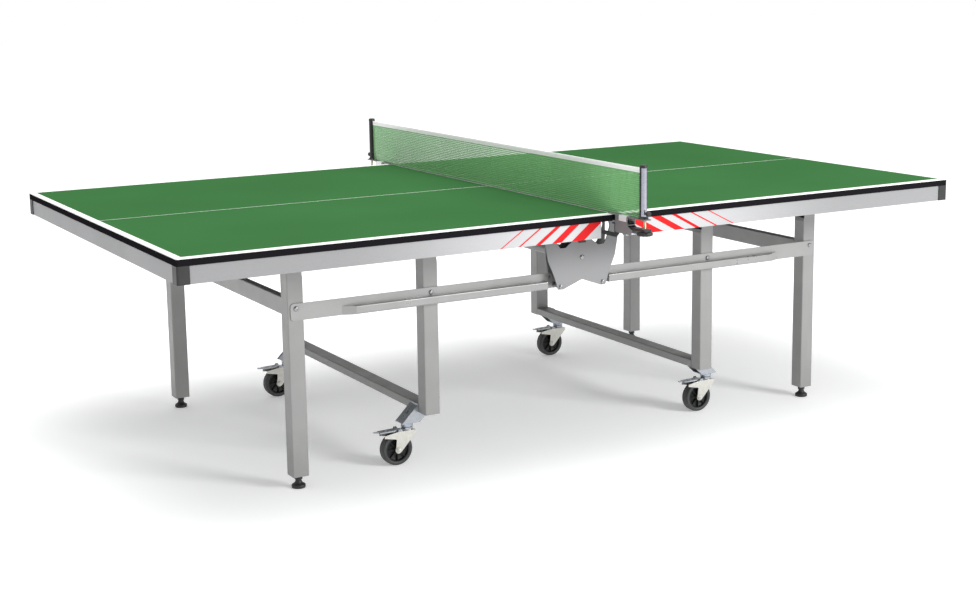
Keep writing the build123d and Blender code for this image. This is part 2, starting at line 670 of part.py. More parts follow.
# Casters: the wheels trail towards -X at both ends of the table
def fork_cheek(x, near_y, far_y):
    """One side of the fork: a leg down to the axle, a wing over the tyre and an ear for the pedal's pin."""
    axle_x = x - WHEEL_TRAIL
    pin_x = x + PEDAL_PIVOT_X
    ear_top = pedal_pivot_z + PEDAL_PIN_RADIUS + 2
    outline = [
        (x + 20, fork_cheek_top), (x + 20, fork_crown_z - 6), (axle_x + 9, WHEEL_RADIUS - 7),
        (axle_x - 10, WHEEL_RADIUS - 4), (axle_x - 6, fork_crown_z - 20), (axle_x - 10, fork_crown_z - 18),
        (axle_x - FORK_WING, fork_crown_z - 11), (axle_x - FORK_WING, fork_crown_z - 3),
        (pin_x - 8, fork_cheek_top), (pin_x - 5, ear_top), (pin_x + 5, ear_top), (pin_x + 8, fork_cheek_top),
    ]
    return slab_xz(outline, near_y, far_y) + rod_y(axle_x, WHEEL_RADIUS, near_y, far_y, 11)


def caster_fork(x, y):
    """Two cheeks under a crown, the two bearing discs above it, the stud and the axle."""
    axle_x = x - WHEEL_TRAIL
    inner = WHEEL_WIDTH / 2 + FORK_INNER_GAP
    outer = inner + FORK_SHEET
    top = bracket_base_z - FORK_TOP_GAP
    disc = (top - fork_cheek_top - 5) / 2
    fork = block(x - 20, x + 20, y - outer, y + outer, fork_crown_z, fork_cheek_top)
    for side in (-1, 1):
        fork += fork_cheek(x, y + side * inner, y + side * outer)
    fork -= rod_y(
        x + PEDAL_PIVOT_X, pedal_pivot_z, y - outer - 1, y + outer + 1, PEDAL_PIN_RADIUS + PIN_CLEARANCE
    )
    fork += rod_z(x, y, fork_cheek_top, fork_cheek_top + disc, BEARING_RADIUS - 1)
    fork += rod_z(x, y, fork_cheek_top, top, BEARING_NECK_RADIUS)
    fork += rod_z(x, y, top - 2 - disc, top - 2, BEARING_RADIUS)
    fork += rod_z(x, y, top, bracket_base_z + BRACKET_SHEET + 8, STUD_RADIUS)
    return fork + rod_y(axle_x, WHEEL_RADIUS, y - outer - 2, y + outer + 2, AXLE_RADIUS)


def caster_wheel(x, y):
    """The hub and its tyre."""
    axle_x = x - WHEEL_TRAIL
    half = WHEEL_WIDTH / 2
    hub = rod_y(axle_x, WHEEL_RADIUS, y - half, y + half, HUB_RADIUS)
    hub -= rod_y(axle_x, WHEEL_RADIUS, y - half - 1, y + half + 1, AXLE_RADIUS + PIN_CLEARANCE)
    tyre = rod_y(axle_x, WHEEL_RADIUS, y - half, y + half, WHEEL_RADIUS)
    tyre = fillet(tyre.edges().filter_by(GeomType.CIRCLE), 5)
    return [hub, tyre - rod_y(axle_x, WHEEL_RADIUS, y - half - 1, y + half + 1, HUB_RADIUS)]


def brake_pedal(x, y):
    """A slotted pressed arm on its pin, with a narrow tip."""
    pivot_x = x + PEDAL_PIVOT_X
    tip_x = pivot_x - PEDAL_LENGTH
    neck_x = tip_x + PEDAL_TIP_LENGTH
    half = PEDAL_WIDTH / 2
    pin_end = WHEEL_WIDTH / 2 + FORK_INNER_GAP + FORK_SHEET + 1
    side = [
        (pivot_x + 3, pedal_pivot_z + 3), (neck_x, pedal_pivot_z + 1), (tip_x, pedal_pivot_z + 3),
        (tip_x, pedal_pivot_z - 1), (neck_x, pedal_pivot_z - 2), (pivot_x + 3, pedal_pivot_z - 3),
    ]
    arm = slab_xz(side, y - half, y + half)
    for sign in (-1, 1):
        waist = block(
            tip_x - 1, neck_x, y + sign * PEDAL_TIP_WIDTH / 2, y + sign * (half + 1),
            pedal_pivot_z - 10, pedal_pivot_z + 10,
        )
        arm -= waist
    for centre_x in (pivot_x - 18, pivot_x - 44):
        slot = block(
            centre_x - 9, centre_x + 9, y - PEDAL_SLOT_WIDTH / 2, y + PEDAL_SLOT_WIDTH / 2,
            pedal_pivot_z - 10, pedal_pivot_z + 10,
        )
        arm -= rounded(slot, Axis.Z, PEDAL_SLOT_WIDTH / 2 - 0.5)
    return arm + rod_y(pivot_x, pedal_pivot_z, y - pin_end, y + pin_end, PEDAL_PIN_RADIUS)


def levelling_foot(x, y):
    disc = rod_z(x, y, 0, FOOT_DISC_HEIGHT, FOOT_RADIUS)
    disc = fillet(disc.edges().filter_by(GeomType.CIRCLE), 3)
    neck_top = OUTER_LEG_BOTTOM - MOVING_GAP / 2
    shoulder = Pos(x, y, FOOT_DISC_HEIGHT + 4) * Cone(FOOT_RADIUS - 6, FOOT_NECK_RADIUS, 8)
    neck = rod_z(x, y, FOOT_DISC_HEIGHT + 8, neck_top, FOOT_NECK_RADIUS)
    return disc + shoulder + neck + rod_z(x, y, neck_top, neck_top + FOOT_STUD_LENGTH, FOOT_STUD_RADIUS)


# The assembly
keep_both_ends("board", [board()])
apron_near = side_apron()
keep_both_ends("apron", [apron_near, swap_y(apron_near), end_apron()])
keep_both_ends("corner_caps", near_and_far(corner_cap()))
keep_both_ends("carrier_rails", near_and_far(carrier_rail()))
keep_both_ends("leg_pivot_pins", [
    pin for leg_x in (INNER_LEG_X, OUTER_LEG_X) for pin in near_and_far(leg_pivot_pin(leg_x))
])
keep_both_ends("inner_leg_near", [inner_leg()])
keep_both_ends("inner_leg_far", [swap_y(inner_leg())])
keep_both_ends("outer_leg_near", outer_leg())
keep_both_ends("outer_leg_far", [swap_y(solid) for solid in outer_leg()])
keep_both_ends("outer_crossbar", [outer_crossbar()])
keep_both_ends("caster_crossbar", [caster_crossbar()])
keep_both_ends("caster_brackets", near_and_far(caster_bracket()))
keep_both_ends("link_bars", near_and_far(link_bar()))
keep_both_ends("bar_bolts", [
    bolt for leg_x in (INNER_LEG_X, OUTER_LEG_X) for bolt in near_and_far(bar_bolt(leg_x))
])
outer_cheek = cheek(cheek_outer_y, cheek_outer_y + CHEEK_SHEET, CHEEK_OVERHANG, lugs=False)
keep("centre_plate_near", outer_cheek)
keep("centre_plate_far", swap_y(outer_cheek))
inner_cheek = cheek(cheek_inner_y, cheek_inner_y + CHEEK_SHEET, INNER_CHEEK_OVERHANG, lugs=True)
keep("hinge_plates", *near_and_far(inner_cheek))
keep("centre_bolts", *centre_bolts())
keep("centre_tube", centre_tube())
keep("net_brackets", *near_and_far(net_bracket()))
keep("net_clamps", *near_and_far(net_clamp()))
keep("net_posts", *near_and_far(net_post()))
keep("net", net_cloth())
keep("net_tape", net_tape())
for end, side_y in (("near", -1), ("far", 1)):
    pieces = {"clamp_jaw": clamp_jaw(), "clamp_screw": clamp_screw(), "tension_screw": tension_screw()}
    for name, piece in pieces.items():
        keep(f"{name}_{end}", piece if side_y < 0 else swap_y(piece))
for hand, side_x in (("left", -1), ("right", 1)):
    for end, side_y in (("near", -1), ("far", 1)):
        place = (side_x * stem_x, side_y * stem_y)
        keep(f"caster_fork_{end}_{hand}", caster_fork(*place))
        keep(f"caster_wheel_{end}_{hand}", *caster_wheel(*place))
        keep(f"brake_pedal_{end}_{hand}", brake_pedal(*place))
        keep(f"levelling_foot_{end}_{hand}", levelling_foot(side_x * OUTER_LEG_X, side_y * LEG_Y))

os.makedirs("parts", exist_ok=True)
for name, solids in nodes.items():
    if len(solids) == 1:
        shape = solids[0]
    else:
        shape = Compound(children=[Solid(solid.solid().wrapped) for solid in solids])
    shape.label = name
    export_step(shape, f"parts/{name}.step")
print(len(nodes), "nodes")
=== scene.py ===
import math

import bmesh
import bpy
from mathutils import Matrix, Vector


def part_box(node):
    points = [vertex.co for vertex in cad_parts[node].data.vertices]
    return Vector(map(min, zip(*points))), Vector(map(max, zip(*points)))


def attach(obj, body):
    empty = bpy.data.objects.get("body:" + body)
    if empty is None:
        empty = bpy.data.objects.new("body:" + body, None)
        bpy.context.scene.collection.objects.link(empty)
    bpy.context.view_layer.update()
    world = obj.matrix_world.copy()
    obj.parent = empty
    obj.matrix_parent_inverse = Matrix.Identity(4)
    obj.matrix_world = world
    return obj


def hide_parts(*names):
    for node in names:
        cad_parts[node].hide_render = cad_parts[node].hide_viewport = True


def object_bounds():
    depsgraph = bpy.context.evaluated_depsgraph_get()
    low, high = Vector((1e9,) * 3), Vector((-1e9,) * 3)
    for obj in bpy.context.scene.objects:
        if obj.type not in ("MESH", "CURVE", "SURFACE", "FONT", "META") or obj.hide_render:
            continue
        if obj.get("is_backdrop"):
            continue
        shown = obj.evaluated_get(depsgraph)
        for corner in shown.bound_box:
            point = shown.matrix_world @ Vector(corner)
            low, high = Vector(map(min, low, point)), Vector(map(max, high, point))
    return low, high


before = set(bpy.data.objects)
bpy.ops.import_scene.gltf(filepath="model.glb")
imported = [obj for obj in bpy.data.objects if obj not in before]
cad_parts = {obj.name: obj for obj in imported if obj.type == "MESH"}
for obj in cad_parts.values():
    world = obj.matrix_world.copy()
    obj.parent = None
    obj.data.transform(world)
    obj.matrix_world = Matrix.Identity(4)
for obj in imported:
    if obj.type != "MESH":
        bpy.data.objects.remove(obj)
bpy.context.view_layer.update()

# The looks of a folding table tennis table. Places are in metres and turned profiles in millimetres.
ENDS = {"left": -1, "right": 1}
SIDES = {"near": -1, "far": 1}
MM = 0.001


# ---------------------------------------------------------------- levels, from the frame
board_low, board_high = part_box("board_right")
table_top = board_high.z
board_bottom = board_low.z
half_length = board_high.x
half_width = board_high.y
net_low, net_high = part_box("net")
tape_low, tape_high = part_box("net_tape")
post_low, post_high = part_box("net_posts")


# ---------------------------------------------------------------- material helpers
class Graph:
    """A material's nodes, with short ways to add and join them."""

    def __init__(self, name):
        self.material = bpy.data.materials.new(name)
        self.material.use_nodes = True
        self.nodes = self.material.node_tree.nodes
        self.links = self.material.node_tree.links
        self.shader = self.nodes["Principled BSDF"]
        place = self.nodes.new("ShaderNodeTexCoord")
        self.point = place.outputs["Object"]
        split = self.nodes.new("ShaderNodeSeparateXYZ")
        self.join(self.point, split.inputs[0])
        self.x, self.y, self.z = split.outputs

    def join(self, source, socket):
        if isinstance(source, bpy.types.NodeSocket):
            self.links.new(source, socket)
        else:
            socket.default_value = source

    def math(self, operation, a, b=0.0, c=0.0):
        node = self.nodes.new("ShaderNodeMath")
        node.operation = operation
        for socket, value in zip(node.inputs, (a, b, c)):
            self.join(value, socket)
        return node.outputs[0]

    def noise(self, scale, detail=3.0, roughness=0.5, stretch=None, low=0.0, high=1.0):
        """Noise between two values, with the point stretched first if asked."""
        node = self.nodes.new("ShaderNodeTexNoise")
        node.inputs["Scale"].default_value = scale
        node.inputs["Detail"].default_value = detail
        node.inputs["Roughness"].default_value = roughness
        point = self.point
        if stretch:
            mapping = self.nodes.new("ShaderNodeMapping")
            mapping.inputs["Scale"].default_value = stretch
            self.join(point, mapping.inputs["Vector"])
            point = mapping.outputs[0]
        self.join(point, node.inputs["Vector"])
        spread = self.nodes.new("ShaderNodeMapRange")
        spread.inputs["From Min"].default_value = 0.3
        spread.inputs["From Max"].default_value = 0.7
        spread.inputs["To Min"].default_value = low
        spread.inputs["To Max"].default_value = high
        self.join(node.outputs["Fac"], spread.inputs["Value"])
        return spread.outputs[0]

    def cells(self, scale):
        node = self.nodes.new("ShaderNodeTexVoronoi")
        node.inputs["Scale"].default_value = scale
        self.join(self.point, node.inputs["Vector"])
        return node.outputs["Distance"]

    def mix(self, factor, first, second):
        node = self.nodes.new("ShaderNodeMix")
        node.data_type = "RGBA"
        self.join(factor, node.inputs["Factor"])
        for value, socket in ((first, node.inputs[6]), (second, node.inputs[7])):
            self.join(value, socket)
        return node.outputs[2]

    def shade(self, color, factor, low, high):
        """The colour, darker or lighter with the factor."""
        dark = tuple(c * low for c in color[:3]) + (1,)
        light = tuple(min(1, c * high) for c in color[:3]) + (1,)
        return self.mix(factor, dark, light)

    def ramp(self, value, start, end, low=0.0, high=1.0):
        """Goes smoothly from low to high as the value goes from start to end."""
        node = self.nodes.new("ShaderNodeMapRange")
        node.interpolation_type = "SMOOTHSTEP"
        self.join(value, node.inputs["Value"])
        for name, number in (("From Min", start), ("From Max", end), ("To Min", low), ("To Max", high)):
            node.inputs[name].default_value = number
        return node.outputs[0]

    def bump(self, height, strength, distance):
        node = self.nodes.new("ShaderNodeBump")
        node.inputs["Strength"].default_value = strength
        node.inputs["Distance"].default_value = distance
        self.join(height, node.inputs["Height"])
        self.join(node.outputs[0], self.shader.inputs["Normal"])

    def finish(self, color, roughness=0.5, metallic=0.0, **sockets):
        self.join(color, self.shader.inputs["Base Color"])
        self.join(roughness, self.shader.inputs["Roughness"])
        self.join(metallic, self.shader.inputs["Metallic"])
        for name, value in sockets.items():
            self.join(value, self.shader.inputs[name.replace("_", " ")])
        return self.material


GREEN = (0.046, 0.152, 0.050, 1)
LINE_WHITE = (0.86, 0.87, 0.85, 1)
EDGE_BLACK = (0.012, 0.011, 0.013, 1)
UNDERSIDE = (0.055, 0.060, 0.056, 1)
APRON_GREY = (0.30, 0.30, 0.305, 1)
# The aprons' lighter colour near the net, used for their painted light.
APRON_PAINTED_LIGHT = (0.56, 0.56, 0.57, 1)
STRIPE_RED = (0.66, 0.004, 0.006, 1)
FRAME_GREY = (0.285, 0.285, 0.28, 1)
PLATE_GREY = (0.28, 0.28, 0.285, 1)
LINE_WIDTH = 20 * MM
CENTRE_LINE_WIDTH = 3 * MM
EDGE_LINE_HEIGHT = 3 * MM
FACE_DEPTH = 0.2 * MM
# Where the aprons' painted light begins and where it is full, as distances from the middle along the table.
LIGHT_POOL_START = 0.95
LIGHT_POOL_FULL = 0.10
PLATE_DARK_LEVEL = 0.67
PLATE_LIGHT_LEVEL = 0.53
FORK_CROWN = 107 * MM
# Where the clamps' painted highlight sits: its depth under the table top, its place across and its reach
# either side.
CLAMP_BLOCK_DEPTH = 14 * MM
CLAMP_BLOCK_Y = 829 * MM
CLAMP_BLOCK_REACH = 20 * MM


def board_paint():
    """Green paint with a fine grain, white lines along the edges, a thin centre line and a black edge."""
    g = Graph("board_paint")
    grain = g.noise(900, detail=4)
    patches = g.noise(1.3, detail=2)
    tone = g.math("ADD", g.math("MULTIPLY", grain, 0.35), g.math("MULTIPLY", patches, 0.4))
    green = g.shade(GREEN, tone, 0.82, 1.16)
    across = g.math("ABSOLUTE", g.y)
    along = g.math("ABSOLUTE", g.x)
    side = g.math("GREATER_THAN", across, half_width - LINE_WIDTH)
    end = g.math("GREATER_THAN", along, half_length - LINE_WIDTH)
    middle = g.math("LESS_THAN", across, CENTRE_LINE_WIDTH / 2)
    lines = g.math("MAXIMUM", g.math("MAXIMUM", side, end), middle)
    top = g.mix(lines, green, LINE_WHITE)
    above_band = g.math("GREATER_THAN", g.z, table_top - EDGE_LINE_HEIGHT)
    edge = g.mix(above_band, EDGE_BLACK, LINE_WHITE)
    on_top = g.math("GREATER_THAN", g.z, table_top - FACE_DEPTH)
    underside = g.math("LESS_THAN", g.z, board_bottom + FACE_DEPTH)
    body = g.mix(on_top, edge, top)
    fibre = g.shade(UNDERSIDE, g.noise(60, stretch=(1, 6, 1)), 0.8, 1.15)
    g.bump(g.noise(1600, detail=2), 0.10, 0.2 * MM)
    roughness = g.noise(3, low=0.50, high=0.58)
    return g.finish(g.mix(underside, body, fibre), roughness, Specular_IOR_Level=0.0)


# Each stripe's place along the near side at STRIPE_LEVEL and its width, in millimetres, and its lean
STRIPES = [
    (-97, 45, 1.28), (-171, 32, 1.30), (-233, 18, 1.43), (-296, 8, 1.50), (-357, 6, 1.55),
    (117, 45, -1.94), (203, 36, -1.84), (271, 18, -1.84), (341, 9, -1.95), (408, 7, -1.98),
]
STRIPE_LEVEL = 712 * MM
APRON_FACE = 4 * MM


def apron_paint():
    """Silver-grey paint with slanted stripes by the net on both long sides, and painted light that makes the
    outer faces lighter towards the net.
    """
    g = Graph("apron_paint")
    grain = g.noise(700, detail=3)
    grey = g.shade(APRON_GREY, grain, 0.95, 1.05)
    facing = g.math("MULTIPLY", g.math("SIGN", g.y), -1)
    along = g.math("MULTIPLY", g.x, facing)
    rise = g.math("SUBTRACT", g.z, STRIPE_LEVEL)
    stripes = 0.0
    for place, width, lean in STRIPES:
        line = g.math("MULTIPLY_ADD", rise, lean, place * MM)
        inside = g.math("COMPARE", along, line, width * MM / 2)
        stripes = g.math("MAXIMUM", stripes, inside)
    outer_face = g.math("GREATER_THAN", g.math("ABSOLUTE", g.y), half_width - APRON_FACE)
    # Painted light: the outer faces grow smoothly lighter towards the net, as if more light fell there; near
    # the stripes it also gives the whitish ground between them.
    light_near_net = g.ramp(g.math("ABSOLUTE", g.x), LIGHT_POOL_START, LIGHT_POOL_FULL)
    painted_light = g.math("MULTIPLY", light_near_net, outer_face)
    base = g.mix(painted_light, grey, g.shade(APRON_PAINTED_LIGHT, grain, 0.96, 1.04))
    painted = g.mix(g.math("MULTIPLY", stripes, outer_face), base, STRIPE_RED)
    g.bump(g.noise(1100, detail=2), 0.12, 0.15 * MM)
    return g.finish(painted, g.noise(5, low=0.36, high=0.46), 0.0, Specular_IOR_Level=0.2)


def powder_coat(name, color, roughness=0.42, metallic=0.25, orange_peel=0.16):
    """Sprayed and baked paint: fine metallic flecks, a light orange peel and slow changes in gloss."""
    g = Graph(name)
    flecks = g.noise(1500, detail=2, roughness=0.7)
    clouds = g.noise(9, detail=3)
    tone = g.math("ADD", g.math("MULTIPLY", flecks, 0.5), g.math("MULTIPLY", clouds, 0.5))
    g.bump(g.noise(850, detail=2), orange_peel, 0.2 * MM)
    gloss = g.noise(22, low=roughness - 0.05, high=roughness + 0.06)
    return g.finish(g.shade(color, tone, 0.92, 1.07), gloss, metallic)


def plate_paint():
    """Brushed silver paint, darker towards the top where the boards keep the light off."""
    g = Graph("plate_paint")
    light = g.ramp(g.z, PLATE_DARK_LEVEL, PLATE_LIGHT_LEVEL)
    brushed = g.noise(260, detail=3, stretch=(1, 1, 12))
    shaded = g.shade(PLATE_GREY, light, 0.55, 0.92)
    g.bump(brushed, 0.10, 0.1 * MM)
    tone = g.mix(g.math("MULTIPLY", brushed, 0.12), shaded, PLATE_GREY)
    return g.finish(tone, 0.34, 0.45)


def zinc(name="zinc", color=(0.74, 0.73, 0.70, 1), rough=0.30):
    """Bright zinc plating: a faint mottle and fine rolling marks."""
    g = Graph(name)
    mottle = g.noise(95, detail=4)
    marks = g.noise(180, detail=2, stretch=(1, 1, 9))
    g.bump(marks, 0.08, 0.1 * MM)
    tone = g.shade(color, mottle, 0.93, 1.05)
    return g.finish(tone, g.noise(70, low=rough - 0.04, high=rough + 0.07), 0.85)


def fork_zinc():
    """Pale plating on the fork's cheeks and brighter, darker-toned steel on the bearing discs above them."""
    g = Graph("fork_zinc")
    mottle = g.noise(95, detail=4)
    discs = g.math("GREATER_THAN", g.z, FORK_CROWN)
    cheeks = g.shade((0.66, 0.65, 0.60, 1), mottle, 0.90, 1.05)
    steel = g.shade((0.40, 0.43, 0.48, 1), mottle, 0.85, 1.15)
    g.bump(g.noise(180, detail=2, stretch=(1, 1, 9)), 0.08, 0.1 * MM)
    roughness = g.ramp(g.z, FORK_CROWN - 1 * MM, FORK_CROWN, 0.38, 0.18)
    return g.finish(g.mix(discs, cheeks, steel), roughness, 0.8)


def clamp_paint():
    """Grey cast body, with the block under the top plate painted near-white as a painted highlight."""
    g = Graph("clamp_paint")
    flecks = g.noise(1500, detail=2, roughness=0.7)
    across = g.math("ABSOLUTE", g.y)
    # Painted highlight: the block under the top plate is painted near-white.
    high = g.math("GREATER_THAN", g.z, table_top - CLAMP_BLOCK_DEPTH)
    painted_highlight = g.math("MULTIPLY", high, g.math("COMPARE", across, CLAMP_BLOCK_Y, CLAMP_BLOCK_REACH))
    cast = g.shade((0.20, 0.20, 0.205, 1), flecks, 0.85, 1.15)
    g.bump(g.noise(500, detail=3), 0.35, 0.2 * MM)
    tone = g.mix(painted_highlight, cast, g.shade((0.80, 0.80, 0.80, 1), flecks, 0.95, 1.03))
    return g.finish(tone, g.noise(22, low=0.34, high=0.46), 0.35)


def plastic(name, color, roughness, grain_scale=1300, grain=0.22):
    """Moulded plastic or rubber with a fine leather-like grain."""
    g = Graph(name)
    g.bump(g.cells(grain_scale), grain, 0.15 * MM)
    tone = g.shade(color, g.noise(40), 0.8, 1.25)
    return g.finish(tone, g.noise(25, low=roughness - 0.05, high=roughness + 0.08))


def cloth(name, color, scale, roughness=0.85):
    """Woven threads: two crossing waves, with painted shade in the grooves between the threads."""
    g = Graph(name)
    waves = []
    for axis in (g.y, g.z):
        waves.append(g.math("ABSOLUTE", g.math("SINE", g.math("MULTIPLY", axis, scale))))
    weave_and_shade = g.math("MULTIPLY", waves[0], waves[1])
    g.bump(weave_and_shade, 0.5, 0.2 * MM)
    # Painted shade: the colour darkens where the threads dip.
    return g.finish(g.shade(color, weave_and_shade, 0.86, 1.04), roughness, 0.0, Sheen_Weight=0.2)


materials = {
    "board": board_paint(),
    "apron": apron_paint(),
    "frame": powder_coat("frame_paint", FRAME_GREY),
    "bar": powder_coat("bar_paint", (0.31, 0.31, 0.305, 1), roughness=0.32, metallic=0.4),
    "plate": plate_paint(),
    "clamp": clamp_paint(),
    "zinc": zinc(),
    "fork": fork_zinc(),
    "bracket": zinc("bracket_zinc", (0.40, 0.42, 0.45, 1), 0.30),
    "bright": zinc("bright_steel", (0.36, 0.36, 0.42, 1), 0.22),
    "brass": zinc("yellow_zinc", (0.80, 0.68, 0.42, 1), 0.28),
    "bolt": zinc("bolt_steel", (0.34, 0.34, 0.35, 1), 0.30),
    "dark_steel": powder_coat("black_paint", (0.012, 0.012, 0.014, 1), roughness=0.34, metallic=0.0),
    "plastic": plastic("black_plastic", (0.015, 0.015, 0.016, 1), 0.42),
    "hub": plastic("hub_plastic", (0.004, 0.004, 0.0045, 1), 0.5, grain=0.1),
    "tyre": plastic("tyre_rubber", (0.040, 0.040, 0.042, 1), 0.5, grain_scale=700),
    "net": cloth("net_cord", (0.21, 0.50, 0.20, 1), 5200),
    "tape": cloth("tape_weave", (0.96, 0.96, 0.95, 1), 3800),
}

NODE_MATERIALS = {
    "board": "board", "apron": "apron", "corner_caps": "plastic", "carrier_rails": "frame",
    "leg_pivot_pins": "bolt", "inner_leg": "frame", "outer_leg": "frame", "outer_crossbar": "frame",
    "caster_crossbar": "frame", "caster_brackets": "bracket", "link_bars": "bar", "bar_bolts": "bolt",
    "centre_plate": "plate", "hinge_plates": "plate", "centre_bolts": "bolt", "centre_tube": "frame",
    "net_brackets": "dark_steel", "net_clamps": "clamp", "net_posts": "bright", "net": "net",
    "net_tape": "tape", "clamp_jaw": "dark_steel", "clamp_screw": "plastic", "tension_screw": "plastic",
    "caster_fork": "fork", "caster_wheel": "tyre", "brake_pedal": "bracket", "levelling_foot": "plastic",
}


def paint(obj, material):
    obj.data.materials.clear()
    obj.data.materials.append(materials[material])


for name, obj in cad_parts.items():
    stems = [stem for stem in NODE_MATERIALS if name == stem or name.startswith(stem + "_")]
    paint(obj, NODE_MATERIALS[max(stems, key=len)])


# ---------------------------------------------------------------- mesh helpers
def add_piece(name, mesh, body, material):
    obj = bpy.data.objects.new(name, mesh)
    bpy.context.scene.collection.objects.link(obj)
    paint(obj, material)
    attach(obj, body)
    return obj


def sharp_by_angle(mesh, degrees=38):
    """Smooth shading that breaks where two faces meet at more than an angle."""
    mesh.shade_smooth()
    mesh.set_sharp_from_angle(angle=math.radians(degrees))


def bridge(bm, lower, upper):
    """Faces between two rings; a ring of one point makes a fan."""
    for step in range(max(len(lower), len(upper))):
        corners = (
            lower[step % len(lower)], lower[(step + 1) % len(lower)],
            upper[(step + 1) % len(upper)], upper[step % len(upper)],
        )
        bm.faces.new(tuple(dict.fromkeys(corners)))


def hexagon_reach(apothem, angle):
    """How far a hexagon's side is from its middle at an angle."""
    turn = (angle + math.pi / 6) % (math.pi / 3) - math.pi / 6
    return apothem / math.cos(turn)


def lathe(bm, profile, matrix, segments=32, lobes=0, lobe_depth=0.0, ring=False):
    """Turns (radius, height) points, in mm, about Z. A third word "hex" makes that ring a hexagon.

    Lobes press finger grips into the widest stretch, and ring joins the last point to the first."""
    widest = max(point[0] for point in profile)
    rings = []
    for radius, height, *shape in profile:
        if radius == 0:
            rings.append([bm.verts.new(matrix @ Vector((0, 0, height * MM)))])
            continue
        verts = []
        for step in range(segments):
            angle = 2 * math.pi * step / segments
            reach = hexagon_reach(radius, angle) if shape else radius
            if radius > 0.6 * widest:
                reach -= lobe_depth * (0.5 + 0.5 * math.cos(lobes * angle))
            point = Vector((reach * math.cos(angle), reach * math.sin(angle), height)) * MM
            verts.append(bm.verts.new(matrix @ point))
        rings.append(verts)
    for lower, upper in zip(rings, rings[1:]):
        bridge(bm, lower, upper)
    if ring:
        bridge(bm, rings[-1], rings[0])


def outward(place, side):
    """A place whose Z points away from the table's middle, along Y."""
    return Matrix.Translation(place) @ Matrix.Rotation(-side * math.pi / 2, 4, "X")


def upright(x, y):
    return Matrix.Translation((x, y, 0))


def mesh_from(bm, name, degrees=38):
    bmesh.ops.recalc_face_normals(bm, faces=bm.faces)
    mesh = bpy.data.meshes.new(name)
    bm.to_mesh(mesh)
    bm.free()
    sharp_by_angle(mesh, degrees)
    return mesh


def tube(bm, points, radius, sides=4):
    """A closed round cord through points."""
    rings = []
    for i, point in enumerate(points):
        ahead = points[min(i + 1, len(points) - 1)] - points[max(i - 1, 0)]
        turn = ahead.to_track_quat("Z", "X")
        ring = []
        for step in range(sides):
            angle = 2 * math.pi * step / sides
            offset = turn @ Vector((radius * math.cos(angle), radius * math.sin(angle), 0))
            ring.append(bm.verts.new(point + offset))
        rings.append(ring)
    for lower, upper in zip(rings, rings[1:]):
        bridge(bm, lower, upper)
    bm.faces.new(list(reversed(rings[0])))
    bm.faces.new(rings[-1])


def turned(name, body, material, matrix, *profiles, **shape):
    """A piece of one or more turned profiles on one axis."""
    bm = bmesh.new()
    for profile in profiles:
        lathe(bm, profile, matrix, **shape)
    return add_piece(name, mesh_from(bm, name), body, material)


# ---------------------------------------------------------------- net
NET_PITCH = 6 * MM
NET_CORD = 1.2 * MM
NET_WAVE = 1.2 * MM
LONG_WAVE = 9.0
SHORT_WAVE = 23.0
EDGE_CORD = 1.5
NET_TUCK = 4 * MM
TAPE_THICKNESS = 0.6 * MM
TAPE_SWAY = 0.4 * MM
TAPE_STATIONS = 120
TAPE_NARROWING = 0.75


def net_bulge(y, z):
    """How far the net stands off its plane: it waves a little, most at its free lower edge."""
    hang = max(0.0, net_high.z - z) / (net_high.z - net_low.z)
    return NET_WAVE * hang * (math.sin(LONG_WAVE * y) + 0.5 * math.sin(SHORT_WAVE * y + 1.0))


def net_mesh():
    """Cords on a square pitch, tucked into the tape, with a thicker cord along the lower edge."""
    bm = bmesh.new()
    span = net_high.y - net_low.y
    drop = net_high.z - net_low.z
    columns = round(span / NET_PITCH)
    rows = round(drop / NET_PITCH)
    first_y = net_low.y + NET_CORD
    places = [first_y + (span - 2 * NET_CORD) * column / columns for column in range(columns + 1)]
    levels = [net_low.z + NET_CORD + (drop + NET_TUCK - NET_CORD) * row / rows for row in range(rows + 1)]
    for row, z in enumerate(levels):
        radius = NET_CORD * (EDGE_CORD if row == 0 else 1.0)
        tube(bm, [Vector((net_bulge(y, z), y, z)) for y in places], radius)
    for y in places:
        tube(bm, [Vector((net_bulge(y, z), y, z)) for z in (levels[0], net_high.z, levels[-1])], NET_CORD)
    return mesh_from(bm, "net_cords", 180)


def fold_outline(top_half, bottom_half, steps=8):
    """One side of the folded tape's section: up, over the head cord and down again."""
    over = [math.pi * step / steps for step in range(steps + 1)]
    centre = tape_high.z - (tape_high.x - tape_low.x) / 2
    arch = [(top_half * math.cos(angle), centre + top_half * math.sin(angle)) for angle in over]
    return [(bottom_half, tape_low.z)] + arch + [(-bottom_half, tape_low.z)]


def tape_mesh():
    """The white tape: a strip folded over the head cord, so round on top, and open below round the net."""
    bm = bmesh.new()
    half = (tape_high.x - tape_low.x) / 2
    mouth = half * TAPE_NARROWING
    inside = fold_outline(half - TAPE_THICKNESS, mouth - TAPE_THICKNESS)
    outline = fold_outline(half, mouth) + inside[::-1]
    rings = []
    for station in range(TAPE_STATIONS + 1):
        y = tape_low.y + (tape_high.y - tape_low.y) * station / TAPE_STATIONS
        sway = TAPE_SWAY * math.sin(LONG_WAVE * y)
        rings.append([bm.verts.new((x + sway, y, z)) for x, z in outline])
    count = len(outline)
    for first, second in zip(rings, rings[1:]):
        for k in range(count):
            bm.faces.new((first[k], first[(k + 1) % count], second[(k + 1) % count], second[k]))
    bm.faces.new(list(reversed(rings[0])))
    bm.faces.new(rings[-1])
    return mesh_from(bm, "net_tape_cloth", 50)


net_cords = add_piece("net_cords", net_mesh(), "centre_frame", "net")
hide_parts("net")
net_tape_cloth = add_piece("net_tape_cloth", tape_mesh(), "centre_frame", "tape")
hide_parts("net_tape")


